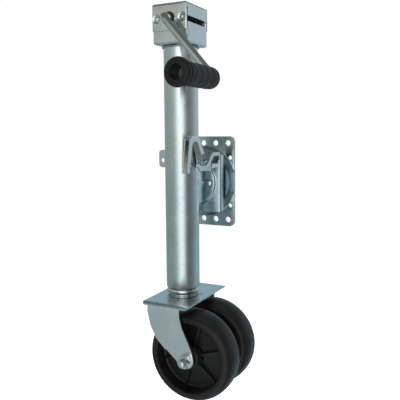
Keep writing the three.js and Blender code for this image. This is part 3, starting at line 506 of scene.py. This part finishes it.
base = case_block("case_base_skin", CASE_HALF_X, 34.7, 229, 294)
combine(base, "DIFFERENCE",
        box("t1", -28.75, -31.7, 232, 28.75, 31.7, 400),
        box("t2", -90, -90, 284, 90, 90, 400),
        box("t3", -90, -31.7, 262, 90, 31.7, 400),
        box("t4", 28.95, -90, 262, 90, 90, 400),
        box("t5", -90, -90, 262, -28.95, 90, 400),
        rod("t6", "y", 8.8, -90, 90, 0, CRANK_Z),
        rod("t7", "z", 7.0, 0, 400))
finish_piece(base, mat_case, "jack", ["gear_case_base"], 0.5, 2)

for x in (-RIVET_X, RIVET_X):
    for side in (-1, 1):
        name = "cover_rivet_%s_%s" % ("front" if side < 0 else "back", "left" if x < 0 else "right")
        rivet = turned(name + "_skin", "y", [(r, side * h) for r, h in RIVET_PROFILE], 40, x, CRANK_Z)
        finish_piece(rivet, mat_bolt, "jack", [name])


# Crank rod: input shaft, arm and handle pin in one bent bar
def bend(p, q, s):
    """Points of a rounded corner at q, on the way from p to s."""
    reach, steps = 10, 10
    start, end = q + (p - q).normalized() * reach, q + (s - q).normalized() * reach
    return [start * (1 - t) ** 2 + q * 2 * t * (1 - t) + end * t ** 2
            for t in [i / steps for i in range(steps + 1)]]


CRANK_ARM_Y = -58
shaft_end, pin_end = Vector((0, 34.4, CRANK_Z)), Vector((GRIP_X, -153, GRIP_Z))
arm_top, arm_foot = Vector((0, CRANK_ARM_Y, CRANK_Z)), Vector((GRIP_X, CRANK_ARM_Y, GRIP_Z))
path = [shaft_end, Vector((0, 0, CRANK_Z))] + bend(shaft_end, arm_top, arm_foot) \
    + bend(arm_top, arm_foot, pin_end) + [Vector((GRIP_X, -120, GRIP_Z)), pin_end]
crank = sweep("crank_skin", path, 6.35, 40)
finish_piece(crank, mat_rod, "crank", ["crank_rod"], 0.6, 2, 40)

# Grip: flange and rim at the near end, four shallow waves, rounded far end, stepped bore
WAVE_STEPS = 48
profile = [(10.5, -178), (13.2, -178), (15.0, -177.9), (17.2, -177.2), (18.9, -176.0), (19.9, -174.4), (20.3, -172.6),
           (20.2, -170.8), (19.6, -169.3), (18.5, -168.0), (17.5, -166.9), (16.95, -165.6), (16.8, -164.2),
           (16.95, -163.0), (17.5, -161.9), (18.0, -160.8), (18.2, -159.6), (18.0, -158.5), (17.4, -157.4),
           (16.8, -156.4)]
for i in range(WAVE_STEPS + 1):
    t = i / WAVE_STEPS
    profile.append((16.75 - 0.4 * t - 0.3 * math.cos(t * 4 * math.tau), -155.6 + t * 77.0))
profile += [(16.3, -76.5), (16.15, -74.2), (15.7, -72.2), (15.0, -70.6), (13.9, -69.5), (12.6, -69.05), (11.2, -69.0),
            (6.75, -69.0), (6.75, -150), (10.5, -150)]
grip = turned("grip_skin", "y", profile, 96, GRIP_X, GRIP_Z)
finish_piece(grip, mat_grip, "handle", ["grip"], angle=50)

# Mounting plate: pressed dome, curved slot for the travel stop, bolt holes, side holes, index holes
plate_outline = rounded(-PLATE_HALF_X, -PLATE_HALF_Z, PLATE_HALF_X, PLATE_HALF_Z, 10, 10)
plate = slab("plate_skin", "y", plate_outline, PLATE_FRONT, PLATE_BACK)
dome = turned("dome", "y",
              [(0, 68), (56.6, 68), (57.0, 68.1), (57.3, 68.5), (63.4, 80.9), (63.9, 81.6), (64.8, PLATE_FRONT),
               (64.8, PLATE_BACK), (0, PLATE_BACK)], 128)
combine(plate, "UNION", dome)
combine(plate, "INTERSECT", slab("edge", "y", plate_outline, 60, 100))
hollow = turned("t", "y", [(0, 73), (52.4, 73), (53.8, 73.8), (58.2, 86.2), (59.4, 88), (0, 88)], 128)
slot_outline = arc(0, 0, 33.1, -92, 92, 40) + arc(-1.0, STOP_X, 4.6, 92, 268, 12)[1:-1] \
    + arc(0, 0, 23.9, 92, -92, 40) + arc(-1.0, -STOP_X, 4.6, 92, 268, 12)[1:-1]
combine(plate, "DIFFERENCE", hollow, slab("t2", "y", slot_outline, 60, 100), rod("t3", "y", 9.9, 50, 100))
for column in range(-2, 3):
    for side in (-1, 1):
        combine(plate, "DIFFERENCE", rod("t", "y", 5.3, 50, 100, column * BOLT_PITCH, side * BOLT_ROW_Z, 36))
for x in (-53, 53):
    for z in (-43, 43):
        combine(plate, "DIFFERENCE", rod("t", "y", 4.0, 50, 100, x, z, 32))
lock_angle, lock_radius = math.atan2(LOCK_Z, LOCK_X), math.hypot(LOCK_X, LOCK_Z)
for turn in (0, 90, -90):
    a = lock_angle + math.radians(turn)
    combine(plate, "DIFFERENCE",
            rod("t", "y", 5.5, 50, 100, lock_radius * math.cos(a), lock_radius * math.sin(a), 32))
finish_piece(plate, mat_sheet, "plate", ["mounting_plate"], 0.5, 2)

# Swing bracket: a pan, open at the back, with a round boss, and the travel stop
bracket = slab("bracket_skin", "z", rounded(-49.4, 48, 49.4, 108, 4, 6), -51, 51)
combine(bracket, "DIFFERENCE", box("t1", -200, 61, -200, 200, 200, 200),
        slab("t2", "z", rounded(-46.4, 51, 46.4, 120, 1.5, 4), -200, 200))
combine(bracket, "INTERSECT", slab("t3", "y", rounded(-50, -51, 50, 51, 5), 0, 200))
boss = turned("boss", "y",
              [(0, 45), (38.2, 45), (38.8, 45.15), (39.3, 45.6), (40.6, 47.4), (41.1, 47.85), (41.8, 48), (41.8, 51),
               (0, 51)], 96)
combine(bracket, "UNION", boss)
combine(bracket, "DIFFERENCE", turned("t", "y", [(0, 48), (37, 48), (39, 52), (0, 52)], 96),
        rod("t2", "y", 5.3, 0, 200, LOCK_X, LOCK_Z), rod("t3", "y", 4.3, 0, 200, STOP_X, 0))
finish_piece(bracket, mat_bracket, "jack", ["swivel_bracket"], 0.4, 2)
stop = turned("stop_pin_skin", "y",
              [(0, 41.6), (2.4, 41.7), (4.6, 42.4), (6.0, 43.6), (6.4, 44.4), (6.2, 44.8), (4, 44.8), (4, 74), (0, 74)],
              40, STOP_X, 0)
finish_piece(stop, mat_bolt, "jack", ["stop_pin"])
nut = hexagon("pivot_nut_skin", "y", 27, 76.6, 83.6, 0, 0)
combine(nut, "DIFFERENCE", rod("t", "y", 9.7, 0, 200))
finish_piece(nut, mat_bolt, "jack", ["pivot_nut"], 0.3, 2)

# Lock lever: a bent channel, its inside painted darker as shade
cheek = filleted([(-56.5, 24), (-50.2, 22.5), (-40.5, 68.5), (-36.5, 73), (-24, 73.5), (-20, 70), (-6, 46), (-5.4, 42),
                  (-4.6, 29), (-3, 26.5), (4, 26.5), (6, 29), (6.2, 42), (6.6, 46), (4.8, 51), (-14, 76), (-18, 81),
                  (-22, 82.5), (-42, 82.5), (-46.5, 80)], 3.0)
CHANNEL_X = (32.5, 39.5)
lever = slab("lever_skin", "x", cheek, 30.5, 41.5)
web_line = [(-53.1, 18), (-42.5, 68.9), (-37.4, 75), (-23.3, 75.5), (-18.3, 71), (-4.3, 47), (-4.3, 40)]
combine(lever, "DIFFERENCE",
        slab("t1", "x", web_line + [(30, 40), (30, 100), (-80, 100), (-80, 18)], *CHANNEL_X),
        rod("t2", "x", PIN_BORE_R, 0, 90, LEVER_Y, LEVER_Z),
        box("t3", CHANNEL_X[0], -15, 20, CHANNEL_X[1], 20, LEVER_Z),
        box("t4", 0, LEVER_Y - 2.4, 0, 90, LEVER_Y + 2.4, 35))
finish_piece(lever, mat_lever, "lever", ["lock_lever"], 0.6, 3)
# Painted shade: the faces inside the channel get the darker zinc.
lever.data.materials.append(mat_channel_painted_shade)
for face in lever.data.polygons:
    if CHANNEL_X[0] - 0.1 < face.center.x / MM < CHANNEL_X[1] + 0.1 and abs(face.normal.x) < 0.5:
        face.material_index = 1

# Lock bracket with its hooked band
band = filleted([(-38, 38), (-38.6, 34.6), (-36, 31.6), (-26, 27.6), (-13, 26.6), (0, 29.4), (9, 35.4), (16, 43),
                 (22, 48.4), (47.7, 48.4), (47.7, 54.4), (19, 54.4), (12, 49.6), (4, 40.6), (-4, 35.4), (-13, 33.2),
                 (-25, 34), (-34, 38.6)], 3.0)
hook = slab("lock_bracket_skin", "x", band, 46.2, 49.2)
combine(hook, "UNION", box("t1", 30.2, 8, 24, 49.2, 11, 42), box("t2", 36, 45.1, 41, 49.2, 47.7, 54.4))
combine(hook, "DIFFERENCE", rod("t", "y", PIN_BORE_R, 0, 30, LOCK_X, LOCK_Z))
finish_piece(hook, mat_lever, "jack", ["lock_bracket"], 0.5, 2)

# Lock plunger and its spring
plunger = turned("plunger_skin", "y",
                 [(0, -8), (2.3, -8), (3, -7.3), (3, 33), (4.6, 33), (5, 33.4), (5, 65.4), (3.6, 67.4), (0, 67.6)],
                 40, LOCK_X, LOCK_Z)
finish_piece(plunger, mat_bolt, "plunger", ["lock_plunger"])
COIL_TURNS, COIL_STEPS, COIL_R = 7, 20, 4.3
coil = []
for i in range(COIL_TURNS * COIL_STEPS + 1):
    t = i * math.tau / COIL_STEPS
    coil.append((LOCK_X + COIL_R * math.cos(t), 12 + 20 * t / (COIL_TURNS * math.tau),
                 LOCK_Z + COIL_R * math.sin(t)))
spring = sweep("spring_skin", coil, 0.8, 12)
finish_piece(spring, mat_spring, "jack", ["lock_spring"])

# Foot of the inner tube: a swaged collar over the swivel washer
collar = turned("collar_skin", "z",
                [(25.4, -186), (25.9, -186), (26.9, -185.2), (27.6, -183.8), (27.8, -182.2), (27.7, -180.4),
                 (27.2, -178.6), (26.3, -177.4), (25.4, -177)], 96)
finish_piece(collar, mat_foot, "leg", ["leg_collar"], angle=50)
nodes["swivel_washer"].data.materials[0] = mat_foot

# Caster plate: a cross-section of four points in each row, the two ends turned down a little
CASTER_HALF_Y = 76
CORNER_CUT = 4
BEND_START = 67
ROWS = 76
sheet_points, sheet_faces = [], []
for j in range(ROWS + 1):
    y = -CASTER_HALF_Y + 2 * CASTER_HALF_Y * j / ROWS
    trim = max(0.0, abs(y) - (CASTER_HALF_Y - CORNER_CUT))
    drop = 0.022 * max(0.0, abs(y) - BEND_START) ** 2
    for x in (-38 + trim, 47.5 - trim):
        for z in (-189 - drop, -192 - drop):
            sheet_points.append((x, y, z))
for j in range(ROWS):
    a, b = 4 * j, 4 * (j + 1)
    sheet_faces += [(a, a + 2, b + 2, b), (a + 1, b + 1, b + 3, a + 3),
                    (a, b, b + 1, a + 1), (a + 2, a + 3, b + 3, b + 2)]
sheet_faces += [(0, 1, 3, 2), (4 * ROWS, 4 * ROWS + 2, 4 * ROWS + 3, 4 * ROWS + 1)]
top_plate = mesh_of("caster_plate_skin", sheet_points, sheet_faces)
combine(top_plate, "DIFFERENCE", rod("t", "z", KING_BORE_R, -300, 0))
finish_piece(top_plate, mat_caster, "caster", ["caster_plate"], 0.5, 2)

# Caster fork
fork_side = filleted([(29, FORK_TOP_Z), (-31, FORK_TOP_Z), (-32, -207), (-26.5, -230), (-16, -250), (2, -268)],
                     2.0)[3:] \
    + arc(AXLE_X, AXLE_Z, 13.5, -130, 10, 20) + [(50.5, -264), (44, -250), (33.5, -228), (28.5, -211)]
fork = slab("fork_skin", "x", rounded(-FORK_HALF_Y, -352.3, FORK_HALF_Y, FORK_TOP_Z, 6, 8), -60, 80)
combine(fork, "INTERSECT", slab("t", "y", fork_side, -200, 200))
combine(fork, "DIFFERENCE", slab("t", "x", rounded(-64, -392.3, 64, -196.3, 3, 6), -200, 200),
        rod("t2", "y", KING_BORE_R, -200, 200, AXLE_X, AXLE_Z), rod("t3", "z", KING_BORE_R, -300, 0))
finish_piece(fork, mat_fork, "caster", ["caster_fork"], 0.6, 3)
for name, y in (("near", -66.5), ("far", 66.5)):
    bead("fork_weld_" + name, [(-29 + i * 1.3, y, -192.9) for i in range(44)], 1.0, mat_weld, "caster")

# Wheels: half of the section from tread to bore, as (radius, distance from the wheel's middle)
WHEEL_Y = 35
SPOKES = 6
FIRST_SPOKE = 15
WHEEL_SECTION = [(76.2, 0), (76.15, 4), (75.9, 8), (75.2, 12.5), (73.9, 16.6), (71.8, 20.2), (69.2, 22.9), (66.2, 24.5),
                 (63, 25.1), (60.6, 25.2), (59.6, 24.6), (59.0, 23.4), (58.6, 20), (57.6, 12), (56.4, 5.2), (55.0, 4.2),
                 (53, 4.0), (22, 4.0), (20.4, 4.6), (19.6, 6.4), (18.4, 24.2), (17.9, 25.0), (17.0, 25.4), (13.2, 25.6),
                 (12.2, 25.2), (11.6, 24.2), (9.9, 24.2)]


def wheel(name, side):
    c = side * WHEEL_Y
    outline = [(r, c + h) for r, h in WHEEL_SECTION]
    outline += [(r, c - h) for r, h in reversed(WHEEL_SECTION) if h > 0]
    body = turned(name + "_skin", "y", outline, 128, AXLE_X, AXLE_Z)
    for k in range(SPOKES):
        a = math.radians(FIRST_SPOKE + 360 // SPOKES * k)
        spoke = slab("t", "z", [(16, c - 14), (57.8, c - 7.5), (57.8, c + 7.5), (16, c + 14)], -1.9, 1.9)
        spoke.data.transform(Matrix.Translation((-SHIFT) * MM))
        spoke.data.transform(Matrix.Rotation(-a, 4, "Y"))
        spoke.data.transform(Matrix.Translation((SHIFT + Vector((AXLE_X, 0, AXLE_Z))) * MM))
        combine(body, "UNION", spoke)
    return finish_piece(body, mat_wheel, "near_wheel" if side < 0 else "far_wheel", [name],
                        0.7, 2, 38)


wheel("wheel_near", -1)
wheel("wheel_far", 1)

# Axle bolt with its thread, axle nut and king pin
bolt = turned("axle_bolt_skin", "y", [(0, -86), (4.6, -86), (5.4, -85.4)] +
              [(6.3 if i % 2 else 5.5, -85 + i * 0.98) for i in range(1, 18)] +
              [(6.35, -67), (6.35, 68.5), (0, 68.5)], 48, AXLE_X, AXLE_Z)
combine(bolt, "UNION", hexagon("t", "y", 19, 68.3, 76.3, AXLE_X, AXLE_Z))
finish_piece(bolt, mat_bolt, "caster", ["axle_bolt"], angle=40)
axle_nut = hexagon("axle_nut_skin", "y", 19, -79, -68.3, AXLE_X, AXLE_Z)
combine(axle_nut, "DIFFERENCE", rod("t", "y", 6.5, -100, 0, AXLE_X, AXLE_Z))
finish_piece(axle_nut, mat_bolt, "caster", ["axle_nut"], 0.3, 2)
king = turned("king_pin_skin", "z",
              [(0, -201.2), (4, -201.0), (7.4, -200.2), (9.8, -199), (10.9, -197.4), (10.9, -196.6), (6.35, -196.6),
               (6.35, -163), (0, -163)], 48)
finish_piece(king, mat_bolt, "caster", ["king_pin"])


# ---------- stage, light and camera ----------

# The floor is where the wheels stand with the leg fully out; retracted, they hang clear of it.
FLOOR_Z = (WHEELS_STAND_Z - MOUNT_Z - LEG_TRAVEL) * MM
FLOOR_R = 1.6
FLOOR_SIDES = 64
floor_turns = [i * math.tau / FLOOR_SIDES for i in range(FLOOR_SIDES)]
floor_mesh = bpy.data.meshes.new("floor")
floor_mesh.from_pydata([(FLOOR_R * math.cos(a), -PLATE_BACK * MM + FLOOR_R * math.sin(a), FLOOR_Z)
                        for a in floor_turns], [], [tuple(range(FLOOR_SIDES))])
floor = bpy.data.objects.new("floor", floor_mesh)
bpy.context.scene.collection.objects.link(floor)

# White paper that glows a little, so that it stays as bright as the backdrop.
PAPER = (0.95, 0.94, 0.93)
paper_nodes = Nodes("floor_paper")
patches = paper_nodes.ramp(paper_nodes.noise(2.0, 2.0), [(0.4, tuple(c * 0.985 for c in PAPER)), (0.6, PAPER)])
paper_nodes.link(patches, paper_nodes.shader.inputs["Base Color"])
paper_nodes.shader.inputs["Roughness"].default_value = 0.9
paper_nodes.shader.inputs["Emission Color"].default_value = (1.0, 0.985, 0.97, 1.0)
paper_nodes.shader.inputs["Emission Strength"].default_value = 0.75
floor_mesh.materials.append(paper_nodes.material)
floor.visible_glossy = False


TOP_BOX_PLACE = Vector((0.1, -0.25, 2.0))
TOP_BOX_AIM = Vector((0.0, -0.087, -0.1))
TOP_BOX_SIZE = 1.6
TOP_BOX_WATTS = 62
top_light = bpy.data.lights.new("top_box", "AREA")
top_light.shape = "RECTANGLE"
top_light.size = TOP_BOX_SIZE
top_light.size_y = TOP_BOX_SIZE
top_light.energy = TOP_BOX_WATTS
top_box = bpy.data.objects.new("top_box", top_light)
top_box.location = TOP_BOX_PLACE
top_box.rotation_mode = "QUATERNION"
top_box.rotation_quaternion = (TOP_BOX_AIM - TOP_BOX_PLACE).to_track_quat("-Z", "Y")
bpy.context.scene.collection.objects.link(top_box)
top_box.visible_glossy = False

# Light tent: brightness by compass direction, in degrees from the front of the set (positive to the right).
FRONT = Vector((0.4505, -0.8928, 0.0))
SIDE = Vector((0.8928, 0.4505, 0.0))
TENT = [(-180, (0.42, 0.56, 0.63)), (-160, (0.42, 0.50, 0.52)), (-130, (0.38, 0.42, 0.39)), (-95, (0.38, 0.46, 0.42)),
        (-67, (0.44, 0.49, 0.46)), (-50, (0.56, 0.58, 0.56)), (-38, (0.80, 0.82, 0.80)), (-22, (1.55, 1.56, 1.53)),
        (-8, (1.85, 1.87, 1.83)),
        (6, (1.70, 1.71, 1.68)), (18, (0.98, 0.98, 0.96)), (28, (0.38, 0.385, 0.375)), (45, (0.205, 0.21, 0.205)),
        (62, (0.235, 0.24, 0.24)), (78, (0.31, 0.32, 0.325)), (98, (0.42, 0.48, 0.51)), (123, (0.52, 0.63, 0.69)),
        (150, (0.46, 0.59, 0.66)), (180, (0.42, 0.56, 0.63))]
world = bpy.data.worlds.new("studio")
bpy.context.scene.world = world
world.use_nodes = True
sky = world.node_tree
background = sky.nodes["Background"]


def sky_node(kind, **settings):
    node = sky.nodes.new(kind)
    for key, value in settings.items():
        setattr(node, key, value)
    return node


def sky_ramp(source, stops):
    node = sky_node("ShaderNodeValToRGB")
    set_stops(node, stops)
    sky.links.new(source, node.inputs["Fac"])
    return node.outputs["Color"]


def sky_mix(factor, a, b, **settings):
    """Mixes two colours; each argument is a value or the output of another node."""
    node = sky_node("ShaderNodeMix", data_type="RGBA", **settings)
    for socket, value in ((node.inputs[0], factor), (node.inputs[6], a), (node.inputs[7], b)):
        if isinstance(value, (float, tuple)):
            socket.default_value = value
        else:
            sky.links.new(value, socket)
    return node.outputs[2]


# Compass direction of a ray, from -180 to 180 degrees, brought to 0 to 1
direction = sky_node("ShaderNodeTexCoord").outputs["Generated"]
dots = []
for axis in (FRONT, SIDE, Vector((0, 0, 1))):
    dot = sky_node("ShaderNodeVectorMath", operation="DOT_PRODUCT")
    dot.inputs[1].default_value = axis
    sky.links.new(direction, dot.inputs[0])
    dots.append(dot.outputs["Value"])
turn = sky_node("ShaderNodeMath", operation="ARCTAN2")
sky.links.new(dots[1], turn.inputs[0])
sky.links.new(dots[0], turn.inputs[1])
scaled = sky_node("ShaderNodeMapRange")
scaled.inputs["From Min"].default_value = -math.pi
scaled.inputs["From Max"].default_value = math.pi
sky.links.new(turn.outputs["Value"], scaled.inputs["Value"])
tent = sky_ramp(scaled.outputs["Result"], [((angle + 180) / 360, colour) for angle, colour in TENT])

# Height of a ray, straight down 0 and straight up 1: a dark roof above, a bluer cast below
ROOF_COLOUR = (0.15, 0.18, 0.19, 1.0)
height = sky_node("ShaderNodeMapRange")
height.inputs["From Min"].default_value = -1.0
sky.links.new(dots[2], height.inputs["Value"])
roof = sky_ramp(height.outputs["Result"], [(0.66, (0, 0, 0)), (0.78, (1, 1, 1))])
below = sky_ramp(height.outputs["Result"], [(0.38, (0.66, 0.76, 0.82)), (0.52, (1, 1, 1))])
graded = sky_mix(1.0, sky_mix(roof, tent, ROOF_COLOUR), below, blend_type="MULTIPLY")
sky.links.new(graded, background.inputs["Color"])
background.inputs["Strength"].default_value = 1.0

# The camera sees white paper where nothing stands; only reflections and light see the tent
paper = sky_node("ShaderNodeBackground")
paper.inputs["Color"].default_value = (1.0, 1.0, 1.0, 1.0)
seen = sky_node("ShaderNodeMixShader")
path_info = sky_node("ShaderNodeLightPath")
sky.links.new(path_info.outputs["Is Camera Ray"], seen.inputs["Fac"])
sky.links.new(background.outputs["Background"], seen.inputs[1])
sky.links.new(paper.outputs["Background"], seen.inputs[2])
sky.links.new(seen.outputs["Shader"], sky.nodes["World Output"].inputs["Surface"])

# Camera: focal length and place from a perspective fit to the outlines in the photo
PHOTO_WIDTH = 400.0
FOCAL_PIXELS = 550.667
SENSOR = 36.0
camera_data = bpy.data.cameras.new("camera")
camera_data.sensor_width = SENSOR
camera_data.lens = SENSOR * FOCAL_PIXELS / PHOTO_WIDTH
camera_data.dof.use_dof = False
camera = bpy.data.objects.new("camera", camera_data)
bpy.context.scene.collection.objects.link(camera)
right = Vector((0.89314003, 0.44972344, -0.00705125))
up = Vector((-0.04824426, 0.11137512, 0.99260671))
back = Vector((0.44718384, -0.8861966, 0.12117015))
place = Matrix((right, up, back)).transposed().to_4x4()
place.translation = Vector((0.44843676, -0.90857390, 0.00991202))
camera.matrix_world = place
camera_data.clip_start, camera_data.clip_end = 0.01, 100.0
bpy.context.scene.camera = camera
bpy.context.scene.view_settings.view_transform = "Standard"
